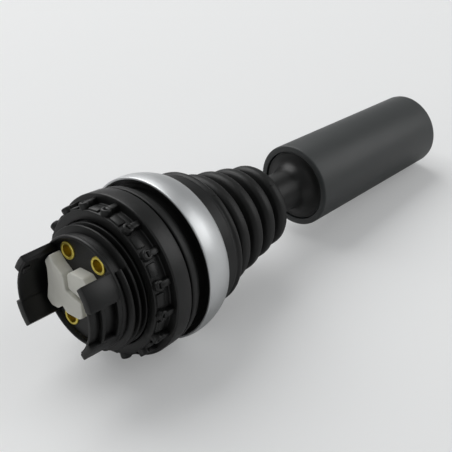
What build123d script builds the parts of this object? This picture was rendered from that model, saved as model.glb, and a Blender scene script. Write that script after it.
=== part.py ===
"""Two-way industrial joystick for a 22.5 mm panel hole, in millimetres.

The stick's axis is X, with the handle towards +X. The origin is on that axis, in the plane where
the front of a panel meets the seal. +Z is up, and the stick tilts about an axis along Z.
"""

import os
from math import cos, radians, sin

from build123d import *

# Clearances
RUN = 0.05
SEAT = 0.03
FREE = 0.3
SLOT_GAP = 0.25

# Panel neck with its flange, its closed rear end and its latch ears
PLUNGER_ROOM = 1.4
CARRIER_SHELF = 0.6
NECK_WALL = 1.8
NECK_LENGTH = 11.3
END_STEP = 1.0
END_LENGTH = 0.8
FLANGE_THICKNESS = 2.0
SPIGOT_STEP = 0.4
SPIGOT_LENGTH = 2.0
REAR_WALL = 2.8
RIM_WIDTH = 0.9
RIM_CHAMFER = 0.3
FACE_RECESS = 0.8
EAR_SETBACK = 0.1
EAR_WALL = 1.3
EAR_REACH = 6.1
EAR_START = -43.0
EAR_END = 44.0
EAR_ROOT = 0.9
EAR_RIB = 0.9
POCKET_LENGTH = 2.5
POCKET_DEPTH = 0.4
POCKET_START = -17.0
POCKET_END = 21.0

# Panel seal
SEAL_THICKNESS = 3.2
SEAL_SETBACK = 0.55
SEAL_WEB = 1.4
SEAL_GROOVE_WIDTH = 1.1
SEAL_EDGE = 0.5

# Lock nut
NUT_SETBACK = 0.2
NUT_FLANGE_TAPER = 0.25
NUT_FLANGE_THICKNESS = 3.6
NUT_WALL = 1.85
NUT_LENGTH = 6.9
NUT_EDGE = 0.25
NUT_LUGS = 16
LUG_TURN = 4.0
LUG_SETBACK = 0.85
LUG_BAR_WIDTH = 1.2
LUG_KNOB_R = 0.95
LUG_DIMPLE_R = 0.45
LUG_DIMPLE_DEPTH = 0.6
PAD_HEIGHT = 0.55
PAD_WIDTH = 2.5
PAD_LENGTH = 1.7
PAD_SETBACK = 0.3

# Bezel ring
BEZEL_WALL = 1.27
BEZEL_RIM = 0.55
BEZEL_LENGTH = 6.5
BEZEL_BULGE = 0.4
BEZEL_LIP = 1.4
BEZEL_REAR_LIP = 0.5
BEZEL_REAR_WALL = 0.45
BEZEL_HOLLOW = 1.2

# Bellows and the band on its bead
SKIRT_WALL = 1.32
SKIRT_LENGTH = 7.2
BELLOWS_WALL = 1.1
BELLOWS_ROUND = 0.6
CRESTS = 4
CREST_X = 17.5
CREST_PITCH = 4.55
CREST_STEP = 0.9
CREST_FALL = 0.93
CREST_FLAT = 1.1
FOLD_DEPTH = 2.1
COLLAR_SETBACK = 1.9
COLLAR_WALL = 0.7
COLLAR_LENGTH = 0.9
BAND_WALL = 0.77
BAND_LENGTH = 2.3

# Stick: hub, bushes, shaft, sleeve and cross pin
PIVOT_X = 3.0
HUB_STEP = 1.2
HUB_HALF_WIDTH = 4.1
HUB_WEB = 0.25
HUB_NECK_LENGTH = 12.0
HUB_NECK_WALL = 1.7
STEM_WALL = 1.3
BUSH_WALL = 0.5
BUSH_GAP = 1.0
SHAFT_R = 2.5
SHAFT_WEB = 1.95
SHAFT_GRIP = 14.0
CROSS_PIN_R = 0.8
CROSS_PIN_SETBACK = 4.0
STEM_FLARE = 2.2

# Pivot pin and the ring that carries it
PIVOT_PIN_R = 1.5
CARRIER_LENGTH = 6.7
CARRIER_WALL = 1.8
CHEEK_HALF_WIDTH = 2.6
CHEEK_LENGTH = 5.6

# Handle and its insert
HANDLE_MOUTH = 42.25
HANDLE_LENGTH = 36.85
HANDLE_TAPER = 0.84
HANDLE_WALL = 1.2
HANDLE_ROUND = 1.2
MOUTH_STEP = 0.25
MOUTH_STEP_DEPTH = 0.4
CAVITY_DEPTH = 1.1
CAVITY_DRAFT = 0.1
FLOOR_WIDTH = 1.42
INSERT_WALL = 2.7
INSERT_LENGTH = 18.0

# Rocker, its screw and the plungers that it pushes
ROCKER_HALF_WIDTH = 1.6
ROCKER_THICKNESS = 1.4
NOSE_Y = 5.0
NOSE_R = 0.8
NOSE_STAND = 0.3
SCREW_HEAD_R = 1.8
SCREW_HEAD_THICKNESS = 0.8
SCREW_R = 1.0
SCREW_LENGTH = 2.6
PLUNGER_STAND = 1.55
PLUNGER_CORNER = 0.35
PLUNGER_EDGE = 0.2
PLUNGER_PLATE = 1.0
POST_LENGTH = 1.3
POST_HALF_WIDTH = 2.0
POST_HALF_DEPTH = 1.4
BAR_OUT_Y = 7.2
BAR_WAIST = 0.45
BAR_WAIST_Z = 1.2
BAR_WAIST_SPAN = 2.8
BAR_TOP_Y = 5.9
BAR_TOP_Z = 5.6
BAR_SHOULDER_Z = 4.0
BAR_FOOT_Z = -4.2
FOOT_BEVEL = 1.1
NOTCH_Y = 3.4
NOTCH_DEPTH = 1.1
TONGUE_TIP_Y = -1.7
TONGUE_TIP_Z = -3.4
TONGUE_BEVEL = 0.8
INNER_LOW_Y = -1.5
INNER_LOW_Z = -0.9
INNER_MID_Y = 2.2
INNER_MID_Z = 0.1
INNER_HIGH_Y = 2.8
INNER_HIGH_Z = 2.9
INNER_TOP_Y = 4.6
INNER_TOP_Z = 4.1

# Plunger springs
SPRING_ANGLE = -67.7
SPRING_ROOM = 0.36
SPRING_R = 1.15
SPRING_WIRE_R = 0.2
SPRING_TURNS = 2.5
SPRING_PAD_R = 1.65

# Brass sockets in the rear face
SOCKET_SPAN_Y = 7.4
SOCKET_SPAN_Z = 12.6
SOCKET_R = 1.65
SOCKET_BORE_R = 1.15
SOCKET_STAND = 0.25
SOCKET_BACKING = 0.6
SOCKET_FLOOR = 0.4

# Radii from the plungers outwards
CAVITY_R = BAR_OUT_Y + PLUNGER_ROOM
CARRIER_BORE_R = CAVITY_R + CARRIER_SHELF
NECK_R = CARRIER_BORE_R + NECK_WALL
END_R = NECK_R - END_STEP
EAR_OUTER_R = END_R - EAR_SETBACK
SPIGOT_R = NECK_R + SPIGOT_STEP
SKIRT_R = SPIGOT_R + SEAT + SKIRT_WALL
CREST_R = SPIGOT_R - CREST_STEP
FLANGE_R = SKIRT_R + SEAT + BAND_WALL
BEZEL_BORE_R = FLANGE_R + SEAT
BEZEL_R = BEZEL_BORE_R + BEZEL_WALL
BEZEL_MOUTH_R = SKIRT_R + FREE
BEZEL_FRONT_R = BEZEL_MOUTH_R + BEZEL_RIM
SEAL_R = BEZEL_R - SEAL_SETBACK
SEAL_GROOVE_R = NECK_R + SEAL_WEB
NUT_FLANGE_R = BEZEL_R - NUT_SETBACK
NUT_CORE_R = NECK_R + RUN + NUT_WALL
LUG_TOP_R = NUT_FLANGE_R - LUG_SETBACK

# Radii of the stick and places round the hub
STEM_R = SHAFT_R + STEM_WALL
HUB_NECK_R = SHAFT_R + HUB_NECK_WALL
HUB_R = HUB_NECK_R + HUB_STEP
INSERT_R = SHAFT_R + INSERT_WALL
MOUTH_R = INSERT_R + FLOOR_WIDTH + CAVITY_DRAFT + HANDLE_WALL
BUSH_R = PIVOT_PIN_R + RUN + BUSH_WALL
SCREW_GRIP = SCREW_LENGTH - ROCKER_THICKNESS
SPRING_CIRCLE_R = CAVITY_R - SPRING_PAD_R - SPRING_ROOM
SPRING_Y = SPRING_CIRCLE_R * cos(radians(SPRING_ANGLE))
SPRING_Z = SPRING_CIRCLE_R * sin(radians(SPRING_ANGLE))

# Planes along the stick's axis
REAR_FACE = FACE_RECESS - NECK_LENGTH
CAVITY_FLOOR = REAR_FACE + REAR_WALL
FLANGE_FRONT = SEAL_THICKNESS + FLANGE_THICKNESS
SPIGOT_FRONT = FLANGE_FRONT + SPIGOT_LENGTH
BEZEL_FRONT = SEAL_THICKNESS + BEZEL_LENGTH
EAR_BACK = -NECK_LENGTH - EAR_REACH
SOCKET_DEPTH = REAR_WALL - SOCKET_BACKING
CARRIER_SEAT = PIVOT_X - CARRIER_LENGTH / 2
HUB_BACK = PIVOT_X - BUSH_R - HUB_WEB - SCREW_GRIP
HUB_FRONT = PIVOT_X + HUB_NECK_LENGTH
SHAFT_FLOOR = PIVOT_X + BUSH_R + SHAFT_WEB
ROCKER_BACK = HUB_BACK - ROCKER_THICKNESS
POST_FRONT = ROCKER_BACK - NOSE_STAND - FREE
PLATE_FRONT = POST_FRONT - POST_LENGTH
PLATE_BACK = PLATE_FRONT - PLUNGER_PLATE
HANDLE_FLOOR = HANDLE_MOUTH + CAVITY_DEPTH
HANDLE_END = HANDLE_MOUTH + HANDLE_LENGTH
SHAFT_END = HANDLE_FLOOR + SHAFT_GRIP
LAST_CREST_X = CREST_X + (CRESTS - 1) * CREST_PITCH
LAST_CREST_R = CREST_R - (CRESTS - 1) * CREST_FALL
COLLAR_R = STEM_R + COLLAR_WALL
COLLAR_START = LAST_CREST_X + COLLAR_SETBACK
COLLAR_END = COLLAR_START + COLLAR_LENGTH
SIDES = {"left": 1, "right": -1}


def sector(outer_r, inner_r, start, end):
    """Return a flat ring sector between two angles in degrees."""
    with BuildSketch() as face:
        with BuildLine():
            outer = CenterArc((0, 0), outer_r, start, end - start)
            inner = CenterArc((0, 0), inner_r, start, end - start)
            Line(outer @ 0, inner @ 0)
            Line(outer @ 1, inner @ 1)
        make_face()
    return face.sketch


def plunger_outline(side):
    """Return a plunger's cross-section on the given side, the other side by a half turn."""
    outline = (
        (BAR_TOP_Y, BAR_TOP_Z),
        (BAR_OUT_Y, BAR_SHOULDER_Z),
        (BAR_OUT_Y - BAR_WAIST, BAR_WAIST_Z + BAR_WAIST_SPAN / 2),
        (BAR_OUT_Y - BAR_WAIST, BAR_WAIST_Z - BAR_WAIST_SPAN / 2),
        (BAR_OUT_Y, BAR_FOOT_Z + FOOT_BEVEL),
        (BAR_OUT_Y - FOOT_BEVEL, BAR_FOOT_Z),
        (NOTCH_Y + NOTCH_DEPTH, BAR_FOOT_Z),
        (NOTCH_Y, BAR_FOOT_Z + NOTCH_DEPTH),
        (NOTCH_Y - NOTCH_DEPTH, BAR_FOOT_Z),
        (TONGUE_TIP_Y + TONGUE_BEVEL, BAR_FOOT_Z),
        (TONGUE_TIP_Y, TONGUE_TIP_Z),
        (INNER_LOW_Y, INNER_LOW_Z),
        (INNER_MID_Y, INNER_MID_Z),
        (INNER_HIGH_Y, INNER_HIGH_Z),
        (INNER_TOP_Y, INNER_TOP_Z),
    )
    with BuildSketch() as face:
        with BuildLine():
            Polyline(*[(side * y, side * z) for y, z in outline], close=True)
        make_face()
        fillet(face.vertices(), PLUNGER_CORNER)
    return face.sketch


def fold_line(drop):
    """Return the points of the bellows' folds, lowered towards the axis by drop."""
    points = []
    for crest in range(CRESTS):
        x = CREST_X + crest * CREST_PITCH
        r = CREST_R - crest * CREST_FALL - drop
        points += [
            (x - CREST_PITCH / 2, r - FOLD_DEPTH + CREST_FALL / 2),
            (x - CREST_FLAT, r),
            (x + CREST_FLAT, r),
        ]
    return points


# Housing: flanged neck, closed rear wall, latch ears, plunger opening and socket holes
with BuildPart() as housing_barrel:
    with BuildSketch(Plane.XY):
        with BuildLine():
            Polyline(
                (REAR_FACE, 0),
                (REAR_FACE, END_R - RIM_WIDTH),
                (-NECK_LENGTH, END_R - RIM_WIDTH),
                (-NECK_LENGTH, END_R - RIM_CHAMFER),
                (RIM_CHAMFER - NECK_LENGTH, END_R),
                (END_LENGTH - NECK_LENGTH, END_R),
                (END_LENGTH + END_STEP / 2 - NECK_LENGTH, NECK_R),
                (SEAL_THICKNESS, NECK_R),
                (SEAL_THICKNESS, FLANGE_R),
                (FLANGE_FRONT, FLANGE_R),
                (FLANGE_FRONT, SPIGOT_R),
                (SPIGOT_FRONT, SPIGOT_R),
                (SPIGOT_FRONT, CARRIER_BORE_R),
                (CARRIER_SEAT, CARRIER_BORE_R),
                (CARRIER_SEAT, CAVITY_R),
                (CAVITY_FLOOR, CAVITY_R),
                (CAVITY_FLOOR, 0),
                close=True,
            )
        make_face()
    revolve(axis=Axis.X)
    with BuildSketch(Plane.YZ.offset(EAR_BACK)):
        for turn in (0, 180):
            add(sector(EAR_OUTER_R, EAR_OUTER_R - EAR_WALL, turn + EAR_START, turn + EAR_END))
    extrude(amount=EAR_REACH + FACE_RECESS)
    rib_front = -NECK_LENGTH - EAR_ROOT - POCKET_LENGTH
    rib_back = rib_front - EAR_RIB
    for pocket_back, length in ((EAR_BACK, rib_back - EAR_BACK), (rib_front, POCKET_LENGTH)):
        with BuildSketch(Plane.YZ.offset(pocket_back)):
            for turn in (0, 180):
                start = turn + POCKET_START
                end = turn + POCKET_END
                add(sector(NECK_R, EAR_OUTER_R - POCKET_DEPTH, start, end))
        extrude(amount=length, mode=Mode.SUBTRACT)
    with BuildSketch(Plane.YZ.offset(REAR_FACE)):
        for side in SIDES.values():
            add(offset(plunger_outline(side), SLOT_GAP, mode=Mode.PRIVATE))
    extrude(amount=REAR_WALL, mode=Mode.SUBTRACT)
    with BuildSketch(Plane.YZ.offset(REAR_FACE)):
        with GridLocations(SOCKET_SPAN_Y, SOCKET_SPAN_Z, 2, 2):
            Circle(SOCKET_R + SEAT)
    extrude(amount=SOCKET_DEPTH, mode=Mode.SUBTRACT)
housing_barrel.part.label = "housing_barrel"

# Brass sockets: blind bushes standing a little proud of the rear face
with BuildPart() as brass_sockets:
    with BuildSketch(Plane.YZ.offset(REAR_FACE - SOCKET_STAND)):
        with GridLocations(SOCKET_SPAN_Y, SOCKET_SPAN_Z, 2, 2):
            Circle(SOCKET_R)
    extrude(amount=SOCKET_STAND + SOCKET_DEPTH)
    with BuildSketch(Plane.YZ.offset(REAR_FACE - SOCKET_STAND)):
        with GridLocations(SOCKET_SPAN_Y, SOCKET_SPAN_Z, 2, 2):
            Circle(SOCKET_BORE_R)
    extrude(amount=SOCKET_STAND + SOCKET_DEPTH - SOCKET_FLOOR, mode=Mode.SUBTRACT)
brass_sockets.part.label = "brass_sockets"

# Panel seal: a ring with a groove behind the bezel
with BuildPart() as panel_seal:
    with BuildSketch(Plane.XY):
        with BuildLine():
            Polyline(
                (0, NECK_R + SEAT),
                (0, SEAL_R - SEAL_EDGE),
                (SEAL_EDGE, SEAL_R),
                (SEAL_THICKNESS - SEAL_GROOVE_WIDTH, SEAL_R),
                (SEAL_THICKNESS - SEAL_GROOVE_WIDTH, SEAL_GROOVE_R),
                (SEAL_THICKNESS, SEAL_GROOVE_R),
                (SEAL_THICKNESS, NECK_R + SEAT),
                close=True,
            )
        make_face()
    revolve(axis=Axis.X)
panel_seal.part.label = "panel_seal"

# Lock nut: a flange, and behind it a ring of dimpled grip lugs with a low pad between each two
with BuildPart() as lock_nut:
    with BuildSketch(Plane.XY):
        with BuildLine():
            Polyline(
                (0, NECK_R + RUN),
                (0, NUT_FLANGE_R - NUT_FLANGE_TAPER - NUT_EDGE),
                (-NUT_EDGE, NUT_FLANGE_R - NUT_FLANGE_TAPER),
                (-NUT_FLANGE_THICKNESS, NUT_FLANGE_R),
                (-NUT_FLANGE_THICKNESS, NUT_CORE_R),
                (NUT_EDGE - NUT_LENGTH, NUT_CORE_R),
                (-NUT_LENGTH, NUT_CORE_R - NUT_EDGE),
                (-NUT_LENGTH, NECK_R + RUN),
                close=True,
            )
        make_face()
    revolve(axis=Axis.X)
    lug_root = (NECK_R + NUT_CORE_R) / 2
    knob_x = LUG_KNOB_R - NUT_LENGTH
    for lug in range(2 * NUT_LUGS):
        angle = radians(180 * lug / NUT_LUGS + LUG_TURN)
        out = Vector(0, cos(angle), sin(angle))
        foot = Plane(out * lug_root, x_dir=(1, 0, 0), z_dir=out)
        if lug % 2:
            with BuildSketch(foot):
                with Locations((PAD_SETBACK + PAD_LENGTH / 2 - NUT_LENGTH, 0)):
                    Rectangle(PAD_LENGTH, PAD_WIDTH)
            extrude(amount=NUT_CORE_R + PAD_HEIGHT - lug_root)
        else:
            with BuildSketch(foot):
                with Locations((knob_x, 0)):
                    Circle(LUG_KNOB_R)
                with Locations(((knob_x - NUT_FLANGE_THICKNESS) / 2, 0)):
                    Rectangle(-NUT_FLANGE_THICKNESS - knob_x, LUG_BAR_WIDTH)
            extrude(amount=LUG_TOP_R - lug_root)
            with BuildSketch(foot.offset(LUG_TOP_R - lug_root)):
                with Locations((knob_x, 0)):
                    Circle(LUG_DIMPLE_R)
            extrude(amount=-LUG_DIMPLE_DEPTH, mode=Mode.SUBTRACT)
lock_nut.part.label = "lock_nut"

# Bezel ring: a bulged band with a hollow rear edge and a front lip over the bellows' skirt
with BuildPart() as bezel_ring:
    with BuildSketch(Plane.XY):
        with BuildLine():
            hollow_r = BEZEL_R - BEZEL_REAR_WALL
            rear_edge = Line((SEAL_THICKNESS, hollow_r), (SEAL_THICKNESS, BEZEL_R))
            rim = Line(rear_edge @ 1, (SEAL_THICKNESS + BEZEL_REAR_LIP, BEZEL_R))
            bulge = SagittaArc(rim @ 1, (BEZEL_FRONT, BEZEL_FRONT_R), BEZEL_BULGE)
            Polyline(
                bulge @ 1,
                (BEZEL_FRONT, BEZEL_MOUTH_R),
                (BEZEL_FRONT - BEZEL_LIP, BEZEL_MOUTH_R),
                (BEZEL_FRONT - BEZEL_LIP, BEZEL_BORE_R),
                (SEAL_THICKNESS + BEZEL_HOLLOW, BEZEL_BORE_R),
                (SEAL_THICKNESS + BEZEL_HOLLOW, hollow_r),
                rear_edge @ 0,
            )
        make_face()
    revolve(axis=Axis.X)
bezel_ring.part.label = "bezel_ring"

# Bellows: bead and skirt in the bezel, falling folds, and a collar on the stem
with BuildPart() as bellows:
    with BuildSketch(Plane.XY):
        with BuildLine():
            skirt_end = FLANGE_FRONT + SKIRT_LENGTH
            outer = FilletPolyline(
                (FLANGE_FRONT, SKIRT_R),
                (skirt_end, SKIRT_R),
                *fold_line(0),
                (COLLAR_START, COLLAR_R),
                (COLLAR_END, COLLAR_R),
                radius=BELLOWS_ROUND,
            )
            inner = FilletPolyline(
                (FLANGE_FRONT, SPIGOT_R + SEAT),
                (skirt_end - BELLOWS_WALL, SPIGOT_R + SEAT),
                *fold_line(BELLOWS_WALL),
                (COLLAR_START - BELLOWS_WALL, STEM_R + SEAT),
                (COLLAR_END, STEM_R + SEAT),
                radius=BELLOWS_ROUND,
            )
            Line(outer @ 0, inner @ 0)
            Line(outer @ 1, inner @ 1)
        make_face()
    revolve(axis=Axis.X)
bellows.part.label = "bellows"

# Band that holds the bellows' bead on the housing's spigot
with BuildPart() as bellows_band:
    with BuildSketch(Plane.YZ.offset(FLANGE_FRONT)):
        Circle(FLANGE_R)
        Circle(SKIRT_R + SEAT, mode=Mode.SUBTRACT)
    extrude(amount=BAND_LENGTH)
bellows_band.part.label = "bellows_band"

# Carrier ring with two cheeks for the pivot pin
with BuildPart() as pivot_carrier:
    with BuildSketch(Plane.YZ.offset(CARRIER_SEAT)):
        Circle(CARRIER_BORE_R - SEAT)
    extrude(amount=CARRIER_LENGTH)
    with BuildSketch(Plane.YZ.offset(CARRIER_SEAT)):
        Circle(CARRIER_BORE_R - CARRIER_WALL)
    extrude(amount=CARRIER_LENGTH, mode=Mode.SUBTRACT)
    cheek_height = CARRIER_BORE_R - CARRIER_WALL / 2 - HUB_HALF_WIDTH - FREE
    for side in SIDES.values():
        with BuildSketch(Plane.XY.offset(side * (HUB_HALF_WIDTH + FREE))):
            with Locations((PIVOT_X, 0)):
                Rectangle(CHEEK_LENGTH, 2 * CHEEK_HALF_WIDTH)
        extrude(amount=side * cheek_height)
    with Locations((PIVOT_X, 0, 0)):
        Cylinder(PIVOT_PIN_R + SEAT, 2 * CARRIER_BORE_R, mode=Mode.SUBTRACT)
pivot_carrier.part.label = "pivot_carrier"

# Pivot pin along Z, held in the cheeks
with BuildPart() as pivot_pin:
    with Locations((PIVOT_X, 0, 0)):
        Cylinder(PIVOT_PIN_R, 2 * (CARRIER_BORE_R - 4 * SEAT))
    chamfer(pivot_pin.edges().filter_by(GeomType.CIRCLE), RIM_CHAMFER / 2)
pivot_pin.part.label = "pivot_pin"

# Hub: a ball with two flats, a rear seat for the rocker and a neck that takes the shaft
with BuildPart() as lever_hub:
    with Locations((PIVOT_X, 0, 0)):
        Sphere(HUB_R)
    with BuildSketch(Plane.YZ.offset(PIVOT_X)):
        Circle(HUB_NECK_R)
    extrude(amount=HUB_NECK_LENGTH)
    split(bisect_by=Plane.YZ.offset(HUB_BACK), keep=Keep.TOP)
    split(bisect_by=Plane.XY.offset(HUB_HALF_WIDTH), keep=Keep.BOTTOM)
    split(bisect_by=Plane.XY.offset(-HUB_HALF_WIDTH), keep=Keep.TOP)
    with Locations((PIVOT_X, 0, 0)):
        Cylinder(BUSH_R + SEAT, 2 * HUB_R, mode=Mode.SUBTRACT)
    with BuildSketch(Plane.YZ.offset(SHAFT_FLOOR)):
        Circle(SHAFT_R + SEAT)
    extrude(amount=HUB_FRONT - SHAFT_FLOOR, mode=Mode.SUBTRACT)
    with Locations(Location((HUB_FRONT - CROSS_PIN_SETBACK, 0, 0), (90, 0, 0))):
        Cylinder(CROSS_PIN_R + SEAT, 2 * HUB_R, mode=Mode.SUBTRACT)
    with BuildSketch(Plane.YZ.offset(HUB_BACK)):
        Circle(SCREW_R + SEAT)
    extrude(amount=SCREW_GRIP, mode=Mode.SUBTRACT)
lever_hub.part.label = "lever_hub"

# Two bushes in the hub that turn on the pivot pin
with BuildPart() as hub_bushes:
    for side in SIDES.values():
        with BuildSketch(Plane.XY.offset(side * HUB_HALF_WIDTH)):
            with Locations((PIVOT_X, 0)):
                Circle(BUSH_R)
                Circle(PIVOT_PIN_R + RUN, mode=Mode.SUBTRACT)
        extrude(amount=side * (BUSH_GAP / 2 - HUB_HALF_WIDTH))
hub_bushes.part.label = "hub_bushes"

# Shaft from the hub into the handle's insert
with BuildPart() as lever_shaft:
    with BuildSketch(Plane.YZ.offset(SHAFT_FLOOR)):
        Circle(SHAFT_R)
    extrude(amount=SHAFT_END - SHAFT_FLOOR)
    with Locations(Location((HUB_FRONT - CROSS_PIN_SETBACK, 0, 0), (90, 0, 0))):
        Cylinder(CROSS_PIN_R + SEAT, 2 * HUB_R, mode=Mode.SUBTRACT)
lever_shaft.part.label = "lever_shaft"

# Cross pin that holds the shaft in the hub
with BuildPart() as cross_pin:
    with Locations(Location((HUB_FRONT - CROSS_PIN_SETBACK, 0, 0), (90, 0, 0))):
        Cylinder(CROSS_PIN_R, 2 * HUB_NECK_R)
cross_pin.part.label = "cross_pin"

# Sleeve round the shaft, with a hollow flare where it meets the handle
with BuildPart() as stem_sleeve:
    with BuildSketch(Plane.XY):
        with BuildLine():
            flare_centre = (HANDLE_FLOOR - STEM_FLARE, STEM_R + STEM_FLARE)
            flare = CenterArc(flare_centre, STEM_FLARE, -90, 90)
            Polyline(
                flare @ 1,
                (HANDLE_FLOOR, SHAFT_R + SEAT),
                (HUB_FRONT, SHAFT_R + SEAT),
                (HUB_FRONT, STEM_R),
                flare @ 0,
            )
        make_face()
    revolve(axis=Axis.X)
stem_sleeve.part.label = "stem_sleeve"

# Handle: a tapered grip with a stepped, shallow mouth and a bore for the insert
with BuildPart() as handle_grip:
    with BuildSketch(Plane.XY):
        with BuildLine():
            Polyline(
                (HANDLE_MOUTH, MOUTH_R - HANDLE_WALL + MOUTH_STEP),
                (HANDLE_MOUTH, MOUTH_R),
                (HANDLE_END, MOUTH_R - HANDLE_TAPER),
                (HANDLE_END, 0),
                (HANDLE_FLOOR + INSERT_LENGTH, 0),
                (HANDLE_FLOOR + INSERT_LENGTH, INSERT_R),
                (HANDLE_FLOOR, INSERT_R),
                (HANDLE_FLOOR, MOUTH_R - HANDLE_WALL - CAVITY_DRAFT),
                (HANDLE_MOUTH + MOUTH_STEP_DEPTH, MOUTH_R - HANDLE_WALL),
                (HANDLE_MOUTH + MOUTH_STEP_DEPTH, MOUTH_R - HANDLE_WALL + MOUTH_STEP),
                close=True,
            )
        make_face()
    revolve(axis=Axis.X)
    end_edge = handle_grip.edges().filter_by(GeomType.CIRCLE).group_by(Axis.X)[-1]
    fillet(end_edge, HANDLE_ROUND)
    mouth_edge = handle_grip.edges().filter_by(GeomType.CIRCLE).group_by(Axis.X)[0]
    fillet(mouth_edge, MOUTH_STEP)
handle_grip.part.label = "handle_grip"

# Insert in the handle that the shaft is fixed in
with BuildPart() as grip_insert:
    with BuildSketch(Plane.YZ.offset(HANDLE_FLOOR)):
        Circle(INSERT_R - SEAT)
    extrude(amount=INSERT_LENGTH)
    with BuildSketch(Plane.YZ.offset(HANDLE_FLOOR)):
        Circle(SHAFT_R + SEAT)
    extrude(amount=SHAFT_END - HANDLE_FLOOR, mode=Mode.SUBTRACT)
grip_insert.part.label = "grip_insert"

# Rocker across the back of the hub, with a rounded nose over each plunger
with BuildPart() as rocker:
    with BuildSketch(Plane.YZ.offset(ROCKER_BACK)):
        Rectangle(2 * (NOSE_Y + NOSE_R), 2 * ROCKER_HALF_WIDTH)
    extrude(amount=ROCKER_THICKNESS)
    for side in SIDES.values():
        with Locations((ROCKER_BACK - NOSE_STAND + NOSE_R, side * NOSE_Y, 0)):
            Cylinder(NOSE_R, 2 * ROCKER_HALF_WIDTH)
    with BuildSketch(Plane.YZ.offset(ROCKER_BACK)):
        Circle(SCREW_HEAD_R + SEAT)
    extrude(amount=SCREW_HEAD_THICKNESS, mode=Mode.SUBTRACT)
    with BuildSketch(Plane.YZ.offset(ROCKER_BACK)):
        Circle(SCREW_R + SEAT)
    extrude(amount=ROCKER_THICKNESS, mode=Mode.SUBTRACT)
rocker.part.label = "rocker"

# Screw that holds the rocker on the hub
with BuildPart() as rocker_screw:
    with BuildSketch(Plane.YZ.offset(ROCKER_BACK)):
        Circle(SCREW_HEAD_R)
    extrude(amount=SCREW_HEAD_THICKNESS)
    with BuildSketch(Plane.YZ.offset(ROCKER_BACK)):
        Circle(SCREW_R)
    extrude(amount=SCREW_LENGTH)
rocker_screw.part.label = "rocker_screw"

# Plungers: a shaped foot out of the rear face, a spring plate and a post under the rocker's nose
plungers = []
plunger_springs = []
for name, side in SIDES.items():
    with BuildPart() as plunger:
        with BuildSketch(Plane.YZ.offset(-NECK_LENGTH - PLUNGER_STAND)):
            add(plunger_outline(side))
        extrude(amount=PLATE_FRONT + NECK_LENGTH + PLUNGER_STAND)
        fillet(plunger.faces().sort_by(Axis.X)[0].edges(), PLUNGER_EDGE)
        with BuildSketch(Plane.YZ.offset(PLATE_BACK)):
            with Locations((side * SPRING_Y, side * SPRING_Z)):
                Circle(SPRING_PAD_R)
            with Locations((side * SPRING_Y, side * (SPRING_Z + BAR_FOOT_Z) / 2)):
                Rectangle(2 * SPRING_PAD_R, NOTCH_DEPTH + abs(SPRING_Z - BAR_FOOT_Z))
        extrude(amount=PLUNGER_PLATE)
        with BuildSketch(Plane.YZ.offset(PLATE_FRONT)):
            with Locations((side * NOSE_Y, 0)):
                Rectangle(2 * POST_HALF_DEPTH, 2 * POST_HALF_WIDTH)
        extrude(amount=POST_LENGTH)
    plunger.part.label = f"{name}_plunger"
    plungers.append(plunger)

    with BuildPart() as spring:
        with BuildLine() as coil:
            Helix(
                pitch=(PLATE_BACK - CAVITY_FLOOR - 2 * SPRING_WIRE_R) / SPRING_TURNS,
                height=PLATE_BACK - CAVITY_FLOOR - 2 * SPRING_WIRE_R,
                radius=SPRING_R,
                center=(CAVITY_FLOOR + SPRING_WIRE_R, side * SPRING_Y, side * SPRING_Z),
                direction=(1, 0, 0),
            )
        with BuildSketch(Plane(coil.line @ 0, z_dir=coil.line % 0)):
            Circle(SPRING_WIRE_R)
        sweep(path=coil.line, is_frenet=True)
    spring.part.label = f"{name}_plunger_spring"
    plunger_springs.append(spring)

os.makedirs("parts", exist_ok=True)
pieces = [
    housing_barrel,
    brass_sockets,
    panel_seal,
    lock_nut,
    bezel_ring,
    bellows,
    bellows_band,
    pivot_carrier,
    pivot_pin,
    lever_hub,
    hub_bushes,
    lever_shaft,
    cross_pin,
    stem_sleeve,
    handle_grip,
    grip_insert,
    rocker,
    rocker_screw,
    *plungers,
    *plunger_springs,
]
for piece in pieces:
    export_step(piece.part, f"parts/{piece.part.label}.step")
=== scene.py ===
"""Looks of a two-way industrial joystick for a 22.5 mm panel hole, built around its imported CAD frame.

The stick's axis is X, with the handle towards +X, and +Z is up. Meshes are drawn in millimetres and
placed in metres.
"""

import logging
from collections.abc import Callable, Iterable, Sequence
from dataclasses import dataclass
from enum import Enum
from functools import partial
from math import pi, radians
from typing import Any, Union

import bmesh
import bpy
from bmesh.types import BMEdge, BMFace, BMVert
from mathutils import Matrix, Vector


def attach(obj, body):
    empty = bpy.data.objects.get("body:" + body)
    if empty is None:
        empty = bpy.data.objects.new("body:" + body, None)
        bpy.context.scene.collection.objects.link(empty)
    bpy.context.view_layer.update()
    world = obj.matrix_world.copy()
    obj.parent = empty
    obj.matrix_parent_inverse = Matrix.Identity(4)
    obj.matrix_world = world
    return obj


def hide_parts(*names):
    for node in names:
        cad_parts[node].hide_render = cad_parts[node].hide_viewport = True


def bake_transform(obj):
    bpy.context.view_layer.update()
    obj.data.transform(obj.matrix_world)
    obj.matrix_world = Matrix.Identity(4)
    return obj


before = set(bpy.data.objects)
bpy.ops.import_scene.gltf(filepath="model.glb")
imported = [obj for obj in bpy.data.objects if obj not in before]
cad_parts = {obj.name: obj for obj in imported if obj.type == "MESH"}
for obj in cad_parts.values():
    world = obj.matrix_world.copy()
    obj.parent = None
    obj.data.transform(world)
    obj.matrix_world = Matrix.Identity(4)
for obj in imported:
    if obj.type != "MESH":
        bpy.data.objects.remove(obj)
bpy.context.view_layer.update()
LOG = logging.getLogger("joystick")
MM = 0.001
FULL_TURN = 360.0
HALF_TURN = 180.0
SHARP_ANGLE = radians(36)
MERGE = 1e-4
SOFT = 0.1
MIDDLE = 0.5
SECTOR_STEP = 3.5
SECTOR_LEAST = 4
CORNER_STEPS = 4
PLUNGER_CORNER = 0.35

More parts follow.
